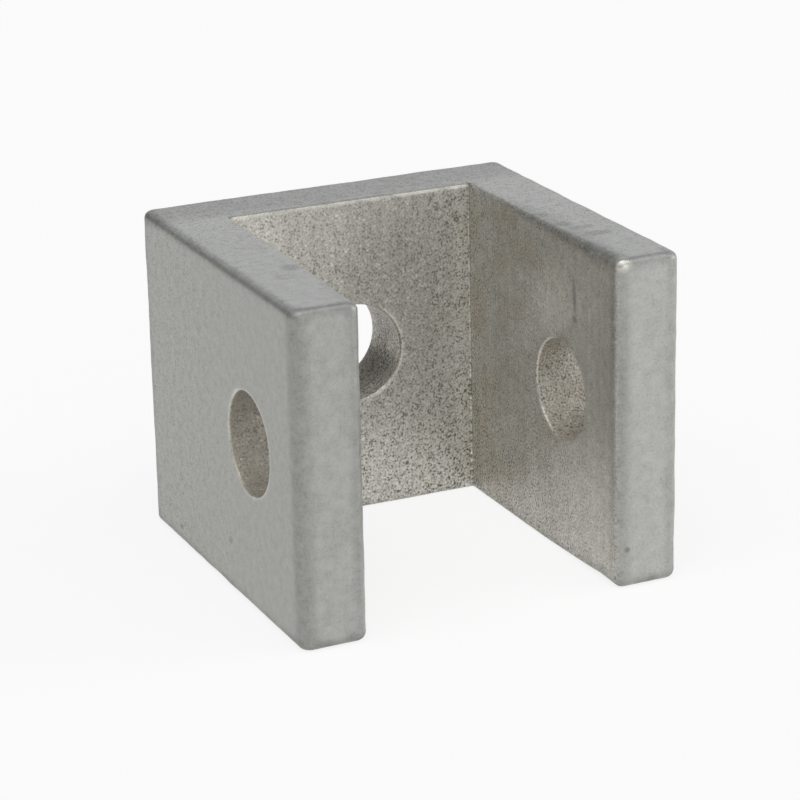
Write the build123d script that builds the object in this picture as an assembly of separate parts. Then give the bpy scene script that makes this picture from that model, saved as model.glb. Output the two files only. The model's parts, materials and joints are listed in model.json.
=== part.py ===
from build123d import *
import os

# A corner bracket for T-slot framing: one short length sawn off an aluminium channel, drilled once
# through the web and once straight through both legs, then tumbled so that every edge is broken.
#
# Frame, in millimetres: +X runs across the web, +Y points from the open front to the back of the
# web, and +Z runs along the channel. The origin is the middle of the lower cut face's outline, so
# the bracket stands on that cut face.

# The channel that it is cut from.
channel_width = 30.0
channel_depth = 29.3
leg_thickness = 5.2
web_thickness = 5.5
root_radius = 0.3
outer_corner_radius = 0.95
cut_length = 25.0

# The holes: one drill, at one height above the lower cut face.
hole_diameter = 7.6
hole_height = 12.8
leg_hole_setback = 8.8

# The edges. Tumbling wears the outside most. The gap's own edges and the hole mouths inside it are
# lightly broken, and the mouths on the outside are all but sharp.
outside_edge_radius = 0.65
gap_edge_radius = 0.45
gap_mouth_chamfer = 0.25
outside_mouth_chamfer = 0.1

# Places that follow from those sizes.
front = -channel_depth / 2
back = channel_depth / 2
web_front = back - web_thickness
gap_width = channel_width - 2 * leg_thickness
gap_depth = channel_depth - web_thickness
leg_hole_y = front + leg_hole_setback

# How close two coordinates must be to count as the same place.
same = 1e-3


def channel_section():
    """The U-shaped section in the XY plane, open towards -Y, with its corners and roots rounded."""
    outline = Rectangle(channel_width, channel_depth)
    gap = Pos(0, front + gap_depth / 2) * Rectangle(gap_width, gap_depth)
    section = outline - gap
    corners = section.vertices().filter_by(lambda v: abs(v.X) > channel_width / 2 - same)
    section = fillet(corners, outer_corner_radius)
    roots = section.vertices().filter_by(lambda v: abs(v.Y - web_front) < same)
    return fillet(roots, root_radius)


def in_gap(edge):
    """Whether an edge lies in the gap between the legs, or on one of its three walls."""
    box = edge.bounding_box()
    between_legs = max(-box.min.X, box.max.X) < gap_width / 2 + same
    return between_legs and box.max.Y < web_front + same


def runs_full_length(edge):
    """Whether an edge runs the whole way from one cut face to the other, as the root lines do."""
    return edge.bounding_box().size.Z > cut_length - same


def round_outside(body):
    """Round both cut faces' outer run, from one leg's free edge round the web to the other's."""
    cut_faces = body.faces().filter_by(Axis.Z)
    rim = [edge for face in cut_faces for edge in face.edges() if not in_gap(edge)]
    return fillet(rim, outside_edge_radius)


def break_gap_edges(body):
    """Break the one closed run of edges that borders the gap, over both cut faces and both legs."""
    rim = [edge for edge in body.edges() if in_gap(edge) and not runs_full_length(edge)]
    return fillet(rim, gap_edge_radius)


def drill_holes(body):
    """Drill the web from the back, and both legs in one pass from side to side."""
    radius = hole_diameter / 2
    web_drill = Cylinder(radius, 3 * web_thickness, rotation=(90, 0, 0))
    leg_drill = Cylinder(radius, 2 * channel_width, rotation=(0, 90, 0))
    return body - Pos(0, back, hole_height) * web_drill - Pos(0, leg_hole_y, hole_height) * leg_drill


def hole_mouths(body):
    """The holes' circular edges, which are the only ones of the drill's radius."""
    circles = body.edges().filter_by(GeomType.CIRCLE)
    return circles.filter_by(lambda edge: abs(edge.radius - hole_diameter / 2) < same)


def break_mouths(body):
    """Deburr the holes' six mouths: the three inside the gap more than the three outside."""
    body = chamfer([edge for edge in hole_mouths(body) if in_gap(edge)], gap_mouth_chamfer)
    return chamfer([edge for edge in hole_mouths(body) if not in_gap(edge)], outside_mouth_chamfer)


def corner_bracket():
    """The whole bracket, in the order that it is made."""
    body = extrude(channel_section(), cut_length)
    body = round_outside(body)
    body = break_gap_edges(body)
    body = drill_holes(body)
    return break_mouths(body)


os.makedirs("parts", exist_ok=True)
export_step(corner_bracket(), "parts/corner_bracket.step")
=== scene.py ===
import json
import math

import bmesh
import bpy
import numpy as np
from mathutils import Matrix, Vector, noise


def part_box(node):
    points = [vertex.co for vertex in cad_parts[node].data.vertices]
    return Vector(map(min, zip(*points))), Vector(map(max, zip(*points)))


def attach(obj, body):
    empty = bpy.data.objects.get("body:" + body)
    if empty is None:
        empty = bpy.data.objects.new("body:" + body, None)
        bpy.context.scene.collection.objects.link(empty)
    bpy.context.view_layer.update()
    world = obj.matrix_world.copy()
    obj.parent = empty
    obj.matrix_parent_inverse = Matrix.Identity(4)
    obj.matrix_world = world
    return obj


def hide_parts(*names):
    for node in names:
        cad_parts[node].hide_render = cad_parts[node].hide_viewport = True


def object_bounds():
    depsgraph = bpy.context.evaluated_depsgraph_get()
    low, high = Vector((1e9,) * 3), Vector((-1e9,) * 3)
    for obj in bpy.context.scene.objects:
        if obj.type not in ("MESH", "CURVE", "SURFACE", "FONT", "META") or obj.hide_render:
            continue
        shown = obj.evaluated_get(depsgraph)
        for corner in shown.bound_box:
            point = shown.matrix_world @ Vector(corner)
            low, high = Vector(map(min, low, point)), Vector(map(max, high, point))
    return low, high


# The looks of the T-slot corner bracket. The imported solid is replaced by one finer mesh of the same
# shape, with its edges worn unevenly as tumbling leaves them, in a bare aluminium finish. The frame
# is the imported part's: +X runs across the web, +Y from the open front to the back of the web, and
# +Z along the channel. Lengths are in metres.

MM = 0.001

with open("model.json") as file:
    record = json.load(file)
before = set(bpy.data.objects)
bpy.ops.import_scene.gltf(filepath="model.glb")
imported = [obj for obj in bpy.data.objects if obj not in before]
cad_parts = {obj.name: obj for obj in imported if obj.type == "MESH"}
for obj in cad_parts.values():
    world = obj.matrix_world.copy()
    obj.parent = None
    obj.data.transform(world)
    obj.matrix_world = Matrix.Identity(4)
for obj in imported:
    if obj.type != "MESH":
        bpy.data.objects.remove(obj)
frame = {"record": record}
whole_low, whole_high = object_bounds()
cad_low, cad_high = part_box("corner_bracket")
mounts = {mount["name"]: mount for mount in frame["record"]["mounts"]}

# The bracket's sizes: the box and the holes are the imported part's own.
LEG_THICKNESS = 5.2 * MM
WEB_THICKNESS = 5.5 * MM
front, back = cad_low.y, cad_high.y
height = cad_high.z - cad_low.z
half_width = (cad_high.x - cad_low.x) / 2
half_gap = half_width - LEG_THICKNESS
web_front = back - WEB_THICKNESS
hole_radius = mounts["web_bore"]["dims"]["r_mm"] * MM
hole_height = mounts["web_bore"]["pos_m"][2]
leg_hole_y = mounts["leg_bore"]["pos_m"][1]

# How far each kind of edge is rounded. The legs' free edges are rounder than the gap's sawn ones.
ROOT = 0.06 * MM
OUTSIDE_CORNER = 0.95 * MM
OUTSIDE_EDGE = 0.65 * MM
GAP_EDGE = 0.35 * MM
LEG_TIP = 0.9 * MM
GAP_MOUTH = 0.27 * MM
OUTSIDE_MOUTH = 0.15 * MM

# The mesh: its usual cell, the band of closer cells along an edge, and the square of cells that
# gives way to rings round each hole.
HALF_SQUARE = 5.2 * MM
SQUARE_CELLS = 24
CELL = 2 * HALF_SQUARE / SQUARE_CELLS
EDGE_BAND = 1.0 * MM
EDGE_STEPS = 8
EDGE_GROWTH = 1.6
RINGS = 9
RING_GROWTH = 1.7

# How unevenly the tumbler wears the edges: each share of their radius, and the size of its lumps.
WEAR = [(0.12, 2.5 * MM), (0.06, 0.8 * MM)]

# How deep its faces are worn hollow: half the most of each depth, and the size of its lumps.
HOLLOWS = [(0.02 * MM, 5 * MM), (0.008 * MM, 1.2 * MM)]


def ramp(value, start, end):
    """0 at start and 1 at end, easing in and out between them. The end may be the lower one."""
    t = np.clip((value - start) / (end - start), 0, 1)
    return t * t * (3 - 2 * t)


def rounded_both(a, b, radius):
    """Distance to what two shapes share, from the distance to each, with the edge between rounded."""
    past_edge = np.hypot(np.maximum(a + radius, 0), np.maximum(b + radius, 0))
    return np.minimum(np.maximum(a, b), -radius) + past_edge


def gap_distance(points):
    """Distance to the gap between the legs, which is open to the front, the top and the bottom."""
    x, y, _ = points.T
    return rounded_both(np.abs(x) - half_gap, y - web_front, ROOT)


def hole_distance(points):
    """Distance to the wall of the nearer hole: below zero in the hole, above zero in the metal."""
    x, y, z = points.T
    leg_hole = np.hypot(y - leg_hole_y, z - hole_height)
    web_hole = np.hypot(x, z - hole_height)
    return np.minimum(leg_hole, web_hole) - hole_radius


def body_distance(points, wear=1.0):
    """Distance to the bracket: below zero in the metal. Wear multiplies how far edges are rounded."""
    x, y, z = points.T
    side = np.abs(x)
    middle = (front + back) / 2
    from_middle = np.abs(y - middle) - (back - middle)
    outline = rounded_both(side - half_width, from_middle, OUTSIDE_CORNER * wear)
    cut = np.abs(z - height / 2) - height / 2
    block = rounded_both(outline, cut, OUTSIDE_EDGE * wear)
    gap_edge = GAP_EDGE + (LEG_TIP - GAP_EDGE) * ramp(y, front + 14 * MM, front + 1 * MM)
    channel = rounded_both(block, -gap_distance(points), gap_edge * wear)
    in_gap = (side < half_width - LEG_THICKNESS / 2) & (y < back - WEB_THICKNESS / 2)
    mouth = np.where(in_gap, GAP_MOUTH, OUTSIDE_MOUTH)
    return rounded_both(channel, -hole_distance(points), mouth * wear)


def outward(points, wear):
    """The direction straight out of the metal at each point."""
    step = 0.001 * MM
    sides = [body_distance(points + step * axis, wear) - body_distance(points - step * axis, wear)
             for axis in np.eye(3)]
    slope = np.stack(sides, axis=1)
    return slope / np.linalg.norm(slope, axis=1, keepdims=True)


def onto_surface(points, wear):
    """The points, moved along the shortest way onto the bracket's rounded surface."""
    for _ in range(8):
        points = points - body_distance(points, wear)[:, None] * outward(points, wear)
    return points


def lines(*stops):
    """Grid lines through the stops, which are (place, whether it is an edge), closer near edges."""
    near = EDGE_BAND * np.linspace(0, 1, EDGE_STEPS + 1) ** EDGE_GROWTH
    found = []
    for (start, start_is_edge), (end, end_is_edge) in zip(stops, stops[1:]):
        first = start + near if start_is_edge else np.array([start])
        last = end - near[::-1] if end_is_edge else np.array([end])
        cells = math.ceil((last[0] - first[-1]) / CELL - 0.01)
        found += [first, np.linspace(first[-1], last[0], cells + 1), last]
    return np.unique(np.round(np.concatenate(found) / MM, 7)) * MM


def quads(points):
    """Every quad of a grid of points, as the places of its four corners."""
    corners = [points[:-1, :-1], points[1:, :-1], points[1:, 1:], points[:-1, 1:]]
    return np.stack(corners, axis=2).reshape(-1, 4, 3)


def between(values, low, high):
    """The grid lines from low to high, both included."""
    return values[(values >= low - 0.001 * MM) & (values <= high + 0.001 * MM)]


def ring_directions():
    """Points round a square of half-size 1, closed, as the grid lines cross its sides."""
    side = np.linspace(-1, 1, SQUARE_CELLS + 1)[:-1]
    one = np.ones_like(side)
    sides = [(side, -one), (one, side), (-side, one), (-one, -side)]
    ring = np.concatenate([np.stack(pair, axis=1) for pair in sides])
    return np.vstack([ring, ring[:1]])


def wall(axis, place, first, second, hole=None):
    """A flat wall across an axis, on two sets of grid lines, with rings of quads round its hole."""
    plane = np.stack(np.meshgrid(first, second, indexing="ij"), axis=-1)
    found = quads(np.insert(plane, axis, place, axis=-1))
    if hole is None:
        return found
    middles = np.delete(found.mean(axis=1), axis, axis=-1) - hole
    square = ring_directions()
    circle = square / np.linalg.norm(square, axis=1, keepdims=True)
    steps = np.linspace(0, 1, RINGS + 1)[:, None, None] ** RING_GROWTH
    rings = hole + (1 - steps) * circle * hole_radius + steps * square * HALF_SQUARE
    kept = found[np.abs(middles).max(axis=1) > HALF_SQUARE]
    return np.concatenate([kept, quads(np.insert(rings, axis, place, axis=-1))])


def bore(axis, start, end, hole):
    """The round wall of a hole from one face of the metal to the other."""
    square = ring_directions()
    circle = hole + hole_radius * square / np.linalg.norm(square, axis=1, keepdims=True)
    stations = lines((start, True), (end, True))
    return quads(np.stack([np.insert(circle, axis, place, axis=-1) for place in stations]))


def sharp_channel():
    """All the quads of the bracket before its edges are rounded."""
    across = lines((-half_width, True), (-half_gap, True), (-HALF_SQUARE, False), (HALF_SQUARE, False),
                   (half_gap, True), (half_width, True))
    deep = lines((front, True), (leg_hole_y - HALF_SQUARE, False), (leg_hole_y + HALF_SQUARE, False),
                 (web_front, True), (back, True))
    up = lines((0, True), (hole_height - HALF_SQUARE, False), (hole_height + HALF_SQUARE, False),
               (height, True))
    beside_gap = between(deep, front, web_front)
    in_web = between(deep, web_front, back)
    in_gap = between(across, -half_gap, half_gap)
    leg_hole = np.array([leg_hole_y, hole_height])
    web_hole = np.array([0, hole_height])
    found = [wall(1, back, across, up, web_hole), wall(1, web_front, in_gap, up, web_hole)]
    found += [bore(1, web_front, back, web_hole)]
    for side in (-1, 1):
        inner, outer = sorted((side * half_gap, side * half_width))
        leg = between(across, inner, outer)
        found += [wall(0, side * half_width, deep, up, leg_hole)]
        found += [wall(0, side * half_gap, beside_gap, up, leg_hole)]
        found += [bore(0, inner, outer, leg_hole), wall(1, front, leg, up)]
        found += [wall(2, place, leg, beside_gap) for place in (0, height)]
    found += [wall(2, place, across, in_web) for place in (0, height)]
    return np.concatenate(found)


def soft_noise(points, size):
    """Smooth noise from about -1 to 1 at each point, with lumps of that size."""
    return np.array([noise.noise(Vector(point) / size) for point in points])


def carry(mesh, name, values):
    """Stores a value at each of the mesh's points, for its material to read."""
    mesh.attributes.new(name, "FLOAT", "POINT").data.foreach_set("value", values.astype(np.float32))


def on_gap_walls(points):
    """1 on the three walls of the gap, and 0 elsewhere."""
    return 1 - ramp(gap_distance(points), 0.1 * MM, 0.5 * MM)


def in_holes(points):
    """1 on the walls of the holes, and 0 elsewhere."""
    return 1 - ramp(hole_distance(points), 0.05 * MM, 0.25 * MM)


def root_distance(points):
    """Distance to the nearer of the two lines where the gap's walls meet the web."""
    x, y, _ = points.T
    return np.hypot(np.abs(x) - half_gap, y - web_front)


# Where the finish is painted paler or darker, much of it as painted light, shade and reflection:
# the middle of each soft patch and how far it reaches along X, Y and Z, in millimetres, and by how
# much it changes the brightness.
SHADE_AND_TONE_PATCHES = [
    # The gap's wall on the right leg: paler in a patch, darker in a band by the free end and along the
    # bottom.
    ((9.8, -4.6, 19.6), (2.0, 3.4, 4.0), 0.16),
    ((9.8, -13.4, 14.0), (1.5, 2.6, 13.0), -0.1),
    ((9.8, -2.0, 3.0), (1.5, 9.0, 5.0), -0.08),
    # Painted reflection on the web's wall: its left part, its middle, along the bottom, a strip by the
    # right root.
    ((-9.0, 9.15, 16.0), (7.0, 1.5, 15.0), 0.14),
    ((3.0, 9.15, 15.0), (6.0, 1.5, 12.0), -0.08),
    ((2.0, 9.15, 2.0), (12.0, 1.5, 6.0), 0.12),
    ((9.4, 9.15, 12.5), (1.4, 0.6, 20.0), 0.16),
    # Painted light on the right leg's free end.
    ((12.4, -14.65, 12.5), (6.0, 0.9, 30.0), 0.13),
    # Painted shade on the upper cut face: over the web, and along the right leg's inner edge.
    ((0.0, 13.0, 25.0), (30.0, 5.0, 1.5), -0.22),
    ((10.0, -6.0, 25.0), (1.9, 14.0, 0.9), -0.2),
    # Painted shade inside the web's hole, and at the top of each leg's hole.
    ((0.0, 12.0, 12.8), (8.0, 3.4, 8.0), -0.35),
    ((12.4, -6.2, 16.4), (4.0, 2.4, 1.7), -0.3),
    ((-12.4, -6.2, 16.4), (4.0, 2.4, 1.7), -0.15),
]


def tone(points):
    """How much paler, above zero, or darker the finish is painted at each point, much of it painted
    light and shade.
    """
    total = np.zeros(len(points))
    for middle, reach, change in SHADE_AND_TONE_PATCHES:
        away = np.linalg.norm((points / MM - middle) / reach, axis=1)
        total += change * ramp(away, 1, 0.45)
    return total


def grit(points):
    """How gritty the finish is: least on the outside and at the legs' free ends, which wear smooth
    in the tumbler, and most in the holes, low on the gap's walls and beside its root lines."""
    x, y, z = points.T
    low = ramp(z, 14 * MM, 2 * MM)
    by_root = ramp(root_distance(points), 5 * MM, 0.3 * MM)
    sheltered = 0.35 + 0.65 * ramp(y + 0.4 * x, front, 5 * MM)
    in_gap = on_gap_walls(points) * (0.3 + 0.6 * low + 0.5 * by_root)
    return sheltered * (0.5 + in_gap + 0.9 * in_holes(points))


def brown(points):
    """How brown the finish is: in patches on the gap's walls, most of all near the web, and in the
    holes, where the tumbler's dirt stays."""
    y = points[:, 1]
    near_web = ramp(y, front + 3 * MM, web_front - 2 * MM) * ramp(y, web_front, web_front - 0.3 * MM)
    patchy = ramp(soft_noise(points, 2.6 * MM) + 0.5 * soft_noise(points, 0.9 * MM), -0.5, 0.5)
    in_gap = on_gap_walls(points) * patchy * (0.25 + near_web)
    return np.clip(in_gap + in_holes(points) * (0.54 + 0.36 * patchy), 0, 1)


def edge_burnish_and_highlight(points):
    """1 on the thin edges that are burnished smoother and painted with a near-white highlight: along
    the top of the web's wall in the gap, round the mouths of the holes, and on the right leg's inner
    top corner."""
    x, y, z = points.T
    side = np.abs(x)
    web_edge = ramp(np.hypot(y - web_front, z - height), 0.42 * MM, 0.16 * MM)
    web_edge = web_edge * ramp(side, half_gap, half_gap - 0.3 * MM)
    to_face = np.minimum(np.abs(side - half_gap), np.abs(side - half_width))
    to_face = np.where(y > 0, np.minimum(np.abs(y - web_front), np.abs(y - back)), to_face)
    mouth = 0.6 * ramp(np.hypot(hole_distance(points), to_face), 0.34 * MM, 0.1 * MM)
    corner = np.array([half_gap + 0.6 * MM, front + 0.3 * MM, height - 0.3 * MM])
    tip = ramp(np.linalg.norm(points - corner, axis=1), 0.8 * MM, 0.2 * MM)
    uneven = 0.65 + 0.9 * soft_noise(points, 1.1 * MM)
    return np.clip(np.maximum(web_edge, mouth) * uneven + tip, 0, 1)


def grime(points):
    """1 where the finish is darker along the bottom edges, in uneven patches."""
    at_bottom = ramp(points[:, 2], 1.3 * MM, 0.1 * MM)
    return np.clip(at_bottom * (0.55 + 0.8 * soft_noise(points, 1.3 * MM)), 0, 1)


def finish_and_shading_values(points):
    """Every value that the material reads at each point, by name."""
    to_cut = height / 2 - np.abs(points[:, 2] - height / 2)
    return {
        "gap": on_gap_walls(points),
        "bore": in_holes(points),
        # Painted shade: darker on the rounded edges.
        "edge": ramp(body_distance(points, 2.0), 0, 0.25 * MM),
        "cut": 1 - ramp(to_cut, 0.05 * MM, 0.3 * MM),
        # Painted shade in the crease where the gap's walls meet the web, along with dirt there.
        "root_line": 1 - ramp(root_distance(points), 0.05 * MM, 0.3 * MM),
        "grit": grit(points),
        "tone": tone(points),
        "brown": brown(points),
        "bright": edge_burnish_and_highlight(points),
        "grime": grime(points),
    }


def bracket_mesh():
    """The bracket's mesh, welded from its quads and moved onto the worn surface."""
    corners = sharp_channel()
    places, index = np.unique(np.round(corners.reshape(-1, 3) / MM, 5), axis=0, return_inverse=True)
    places = places * MM
    wear = 1 + sum(share * soft_noise(places, size) for share, size in WEAR)
    places = onto_surface(places, wear)
    hollow = sum(depth * (1 + soft_noise(places, size)) for depth, size in HOLLOWS)
    places = places - hollow[:, None] * outward(places, wear)
    mesh = bpy.data.meshes.new("bracket")
    mesh.from_pydata(places.tolist(), [], index.reshape(-1, 4).tolist())
    for name, values in finish_and_shading_values(places).items():
        carry(mesh, name, values)
    shaper = bmesh.new()
    shaper.from_mesh(mesh)
    bmesh.ops.recalc_face_normals(shaper, faces=shaper.faces)
    shaper.to_mesh(mesh)
    shaper.free()
    mesh.shade_smooth()
    return mesh


class Nodes:
    """Short calls that add nodes to one material's or world's tree and link them."""

    def __init__(self, owner):
        owner.use_nodes = True
        self.tree = owner.node_tree
        self.tree.nodes.clear()

    def add(self, kind, inputs, output=0, **settings):
        """One output of a new node, or the node itself where output is None. Each input is a value,
        or another node's output to link."""
        node = self.tree.nodes.new(kind)
        for name, value in settings.items():
            setattr(node, name, value)
        for socket, value in inputs.items():
            if isinstance(value, bpy.types.NodeSocket):
                self.tree.links.new(value, node.inputs[socket])
            else:
                node.inputs[socket].default_value = value
        return node if output is None else node.outputs[output]

    def math(self, operation, *values):
        """One step of arithmetic on the values."""
        return self.add("ShaderNodeMath", dict(enumerate(values)), operation=operation)

    def total(self, *values):
        """The sum of the values."""
        found = values[0]
        for value in values[1:]:
            found = self.math("ADD", found, value)
        return found

    def times(self, *values):
        """The product of the values."""
        found = values[0]
        for value in values[1:]:
            found = self.math("MULTIPLY", found, value)
        return found

    def ramp(self, value, start, end, low=0.0, high=1.0):
        """Low where the value is at start or before and high at end or past it, eased between."""
        inputs = {"Value": value, "From Min": start, "From Max": end, "To Min": low, "To Max": high}
        return self.add("ShaderNodeMapRange", inputs, interpolation_type="SMOOTHSTEP")

    def stretch(self, coordinates, scale):
        """The coordinates, multiplied along X, Y and Z."""
        inputs = {0: coordinates, 1: scale}
        return self.add("ShaderNodeVectorMath", inputs, operation="MULTIPLY")

    def noise(self, coordinates, scale, detail=2.0, roughness=0.5):
        """Soft noise about zero, most of it within half a unit each way."""
        inputs = {"Vector": coordinates, "Scale": scale, "Detail": detail, "Roughness": roughness}
        return self.math("SUBTRACT", self.add("ShaderNodeTexNoise", inputs), 0.5)

    def specks(self, coordinates, scale, size, share):
        """1 inside scattered round specks of that size, on that share of the cells of the scale."""
        cells = self.add("ShaderNodeTexVoronoi", {"Vector": coordinates, "Scale": scale}, None)
        chosen = self.add("ShaderNodeSeparateColor", {0: cells.outputs["Color"]})
        reach = size * scale / 2
        inside = self.ramp(cells.outputs["Distance"], reach, reach * 0.4)
        return self.times(inside, self.math("LESS_THAN", chosen, share))

    def attribute(self, name):
        """A value that the mesh carries at its points."""
        return self.add("ShaderNodeAttribute", {}, "Fac", attribute_name=name)

    def mix(self, share, first, second):
        """A colour between two, from the first at 0 to the second at 1."""
        return self.add("ShaderNodeMix", {0: share, 6: first, 7: second}, 2, data_type="RGBA")

    def mix_vectors(self, share, first, second):
        """A vector between two, from the first at 0 to the second at 1."""
        return self.add("ShaderNodeMix", {0: share, 4: first, 5: second}, 1, data_type="VECTOR")

    def spot(self, place, middle, reach, lean=0.0):
        """1 in a soft long spot that reaches so far along X, Y and Z, leaning round X, in degrees."""
        turn = (math.radians(lean), 0, 0)
        inputs = {"Vector": place, "Location": middle, "Rotation": turn, "Scale": reach}
        local = self.add("ShaderNodeMapping", inputs, vector_type="TEXTURE")
        away = self.add("ShaderNodeVectorMath", {0: local}, "Value", operation="LENGTH")
        return self.ramp(away, 1.0, 0.3)


# Scratches, scuffs and nicks on the bracket: the middle, how far each reaches along X, Y and Z, in
# millimetres, how far it leans round X, in degrees, and how dark it is.
MARKS = [
    # The gap's wall on the right leg: a scratch, and the pit at its end.
    ((9.8, -8.1, 20.8), (0.5, 0.36, 1.9), -4, 0.42),
    ((9.8, -8.2, 18.9), (0.5, 0.55, 0.35), 0, 0.4),
    # The upper cut face: scuffs on the left leg, then on the right one.
    ((-10.97, -4.9, 25.0), (1.1, 1.1, 0.5), 0, 0.26),
    ((-12.1, -6.7, 25.0), (1.1, 0.9, 0.5), 0, 0.14),
    ((11.9, -5.6, 25.0), (1.3, 0.8, 0.5), 0, 0.24),
    ((12.1, -7.5, 25.0), (1.5, 0.9, 0.5), 0, 0.28),
    ((11.0, -4.2, 25.0), (1.1, 0.9, 0.5), 0, 0.2),
    ((10.3, -1.4, 25.0), (1.2, 0.8, 0.5), 0, 0.14),
    # Nicks on the right leg's free end, on the web's wall, and two low on the left leg's outside.
    ((10.7, -14.65, 3.05), (0.35, 0.5, 0.32), 0, 0.4),
    ((7.17, 9.15, 8.95), (0.36, 0.5, 0.34), 0, 0.45),
    ((-15.0, 8.7, 1.4), (0.5, 0.5, 0.34), 0, 0.35),
    ((-15.0, -1.55, 3.95), (0.5, 0.55, 0.36), 0, 0.3),
]

# The metal's colour on the outside; on the cut faces, paler and cooler, partly their sawn finish and
# partly painted light from above; inside the gap and holes, paler and warmer as painted light and
# interreflection; where it is brownest; in its dirty specks; and the painted near-white of its glints
# and highlights.
METAL = (0.448, 0.454, 0.425, 1)
SAWN_AND_LIT_METAL = (0.615, 0.628, 0.615, 1)
INNER_LIT_METAL = (0.565, 0.555, 0.51, 1)
BROWN_METAL = (0.5, 0.445, 0.365, 1)
DIRT = (0.2, 0.165, 0.12, 1)
GLINT = (0.95, 0.93, 0.85, 1)

# How many lines there are to a millimetre along X, Y and Z, from the die and from the saw.
DIE_LINES = (3.0, 3.0, 0.04)
SAW_LINES = (0.3, 5.0, 1.0)

# The finish's share of metal, and how rough it is where nothing changes that.
METALLIC = 0.5
ROUGHNESS = 0.42


def tumbled_aluminium():
    """Bare aluminium, matt and gritty, with die lines down the gap and saw lines on the cut ends, and
    with painted light, shade and highlights in its colour.
    """
    material = bpy.data.materials.new("tumbled_aluminium")
    nodes = Nodes(material)
    place = nodes.stretch(nodes.add("ShaderNodeTexCoord", {}, "Object"), (1000, 1000, 1000))
    gap, bore, edge, cut, grit, tone, brown, bright, grime, root_line = (
        nodes.attribute(name) for name in
        ("gap", "bore", "edge", "cut", "grit", "tone", "brown", "bright", "grime", "root_line"))
    inside = nodes.math("MAXIMUM", gap, bore)

    mottle = nodes.noise(place, 1.4, 3, 0.65)
    grain = nodes.noise(place, 6.5, 0)
    along = nodes.mix_vectors(cut, DIE_LINES, SAW_LINES)
    lines = nodes.noise(nodes.stretch(place, along), 1.0, 2, 0.6)
    lines = nodes.times(lines, nodes.math("MAXIMUM", gap, cut))
    clustered = nodes.total(grain, nodes.times(mottle, 0.6))
    specks = nodes.times(nodes.ramp(clustered, -0.1, -0.3), grit)
    # Painted highlights: scattered glints inside and the burnished edges are painted near-white into
    # the colour, as well as made smoother.
    glints = nodes.times(nodes.ramp(clustered, 0.22, 0.38), grit, inside)
    glints = nodes.math("MAXIMUM", glints, bright)
    nicks = nodes.specks(place, 0.9, 0.32, 0.12)
    marks = nodes.total(*[nodes.times(nodes.spot(place, middle, reach, lean), darkness)
                          for middle, reach, lean, darkness in MARKS])

    # Painted shade: darker on the rounded edges and in the root crease, the crease along with dirt
    # there; also darker for nicks, marks and along the bottom edges.
    dark = nodes.total(nodes.times(nicks, 0.16), marks, nodes.times(edge, 0.17),
                       nodes.times(root_line, 0.25), nodes.times(grime, 0.4))
    # Paler or darker by the patches, much of them painted light and shade.
    light = nodes.total(tone, nodes.times(mottle, 0.55), nodes.times(grain, grit, 0.95),
                        nodes.times(lines, 0.3))
    level = nodes.math("SUBTRACT", nodes.math("ADD", 1.0, light), dark)
    # The cut faces paler and cooler, partly their sawn finish and partly painted light; the inside
    # painted paler and warmer, as painted light and interreflection.
    metal = nodes.mix(cut, METAL, SAWN_AND_LIT_METAL)
    metal = nodes.mix(inside, metal, INNER_LIT_METAL)
    metal = nodes.mix(nodes.times(brown, 0.6), metal, BROWN_METAL)
    metal = nodes.add("ShaderNodeVectorMath", {0: metal, "Scale": level}, operation="SCALE")
    metal = nodes.mix(nodes.times(specks, 0.55), metal, DIRT)
    # Painted highlights, near-white.
    metal = nodes.mix(nodes.times(glints, 0.7), metal, GLINT)

    rough = nodes.total(ROUGHNESS, nodes.times(mottle, 0.2), nodes.times(specks, 0.15),
                        nodes.times(cut, -0.05), nodes.times(glints, -0.18))
    depth = nodes.total(nodes.times(grain, grit, 0.012), nodes.times(mottle, 0.02),
                        nodes.times(lines, 0.006))
    normal = nodes.add("ShaderNodeBump", {"Height": depth, "Distance": MM})
    shader = nodes.add("ShaderNodeBsdfPrincipled", {
        "Base Color": metal, "Roughness": rough, "Normal": normal, "Metallic": METALLIC})
    nodes.add("ShaderNodeOutputMaterial", {"Surface": shader}, None)
    return material


bracket = bpy.data.objects.new("bracket", bracket_mesh())
bracket.data.materials.append(tumbled_aluminium())
bpy.context.scene.collection.objects.link(bracket)
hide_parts("corner_bracket")
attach(bracket, "root")


# The camera: degrees round from the front towards +X, degrees up, and degrees of roll; its distance
# from the point that it looks at; and its focal length, as many times as wide as its picture.
CAMERA_TURN = -24.379
CAMERA_RISE = 19.283
CAMERA_ROLL = -1.234
CAMERA_DISTANCE = 223.57 * MM
CAMERA_TARGET = Vector((-0.506, 0.0, 11.901)) * MM
CAMERA_ZOOM = 3.7626


def towards(turn, rise):
    """The direction that lies so many degrees round from the front towards +X, and so many up."""
    turn, rise = math.radians(turn), math.radians(rise)
    return Vector((math.sin(turn) * math.cos(rise), -math.cos(turn) * math.cos(rise), math.sin(rise)))


def add_camera():
    """The camera at the photograph's viewing angle."""
    data = bpy.data.cameras.new("camera")
    data.lens = CAMERA_ZOOM * data.sensor_width
    data.clip_start = 0.01
    view = towards(CAMERA_TURN, CAMERA_RISE)
    level = view.to_track_quat("Z", "Y").to_matrix().to_4x4()
    rolled = level @ Matrix.Rotation(math.radians(CAMERA_ROLL), 4, "Z")
    camera = bpy.data.objects.new("camera", data)
    camera.matrix_world = Matrix.Translation(CAMERA_TARGET + view * CAMERA_DISTANCE) @ rolled
    bpy.context.scene.collection.objects.link(camera)
    bpy.context.scene.camera = camera


add_camera()


# The floor: half its width, how far it lies below the bracket, and how much of what the camera and
# reflections see of it is plain white, with the rest keeping the shadow.
FLOOR_REACH = 2.0
FLOOR_DROP = 0.01 * MM
FLOOR_WHITE = 0.75


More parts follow.
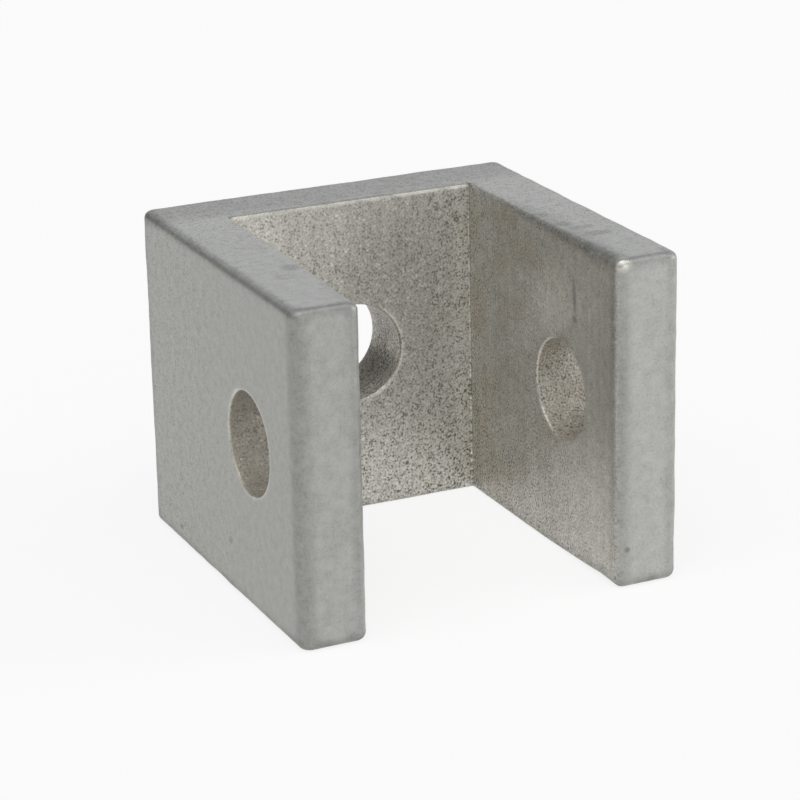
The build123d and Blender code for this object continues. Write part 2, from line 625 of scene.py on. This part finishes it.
def add_floor():
    """A white floor that keeps the bracket's shadow, and is white to the camera and in reflections."""
    corners = [(x * FLOOR_REACH, y * FLOOR_REACH, 0) for x, y in ((-1, -1), (1, -1), (1, 1), (-1, 1))]
    mesh = bpy.data.meshes.new("floor")
    mesh.from_pydata(corners, [], [(0, 1, 2, 3)])
    plane = bpy.data.objects.new("floor", mesh)
    plane.location.z = whole_low.z - FLOOR_DROP
    bpy.context.scene.collection.objects.link(plane)
    material = bpy.data.materials.new("floor")
    nodes = Nodes(material)
    ray = nodes.add("ShaderNodeLightPath", {}, None)
    kinds = ("Is Camera Ray", "Is Glossy Ray", "Is Transmission Ray")
    seen = nodes.math("MINIMUM", nodes.total(*[ray.outputs[kind] for kind in kinds]), 1.0)
    share = nodes.times(seen, FLOOR_WHITE)
    lit = nodes.add("ShaderNodeBsdfDiffuse", {"Color": (0.8, 0.8, 0.8, 1)})
    white = nodes.add("ShaderNodeEmission", {"Strength": 1.1})
    surface = nodes.add("ShaderNodeMixShader", {0: share, 1: lit, 2: white})
    nodes.add("ShaderNodeOutputMaterial", {"Surface": surface}, None)
    mesh.materials.append(material)


add_floor()

# The studio's soft lights, as glows in the sky: degrees round from the front towards +X, degrees up,
# brightness, and how narrow each is.
GLOWS = [
    (0, 10, 2.0, 12),
    (72, 10, 4.2, 12),
    (144, 10, 0.8, 12),
    (180, 10, 0.8, 12),
    (270, 38, 0.9, 12),
    (315, 66, 3.2, 12),
    (50, 58, 2.0, 60),
]


def add_studio_light():
    """Soft light from the glows, with white beyond the floor where the camera sees past it."""
    world = bpy.data.worlds.new("studio")
    bpy.context.scene.world = world
    nodes = Nodes(world)
    sky = nodes.add("ShaderNodeTexCoord", {}, "Generated")
    parts = []
    for turn, rise, brightness, narrowness in GLOWS:
        near = nodes.add("ShaderNodeVectorMath", {0: sky, 1: towards(turn, rise)}, "Value",
                         operation="DOT_PRODUCT")
        fall = nodes.times(nodes.math("SUBTRACT", near, 1.0), narrowness)
        parts.append(nodes.times(nodes.math("EXPONENT", fall), brightness))
    light = nodes.add("ShaderNodeBackground", {"Strength": nodes.total(*parts)})
    white = nodes.add("ShaderNodeBackground", {"Strength": 1.0})
    seen = nodes.add("ShaderNodeLightPath", {}, "Is Camera Ray")
    surface = nodes.add("ShaderNodeMixShader", {0: seen, 1: light, 2: white})
    nodes.add("ShaderNodeOutputWorld", {"Surface": surface}, None)


add_studio_light()
bpy.context.scene.view_settings.view_transform = "Standard"
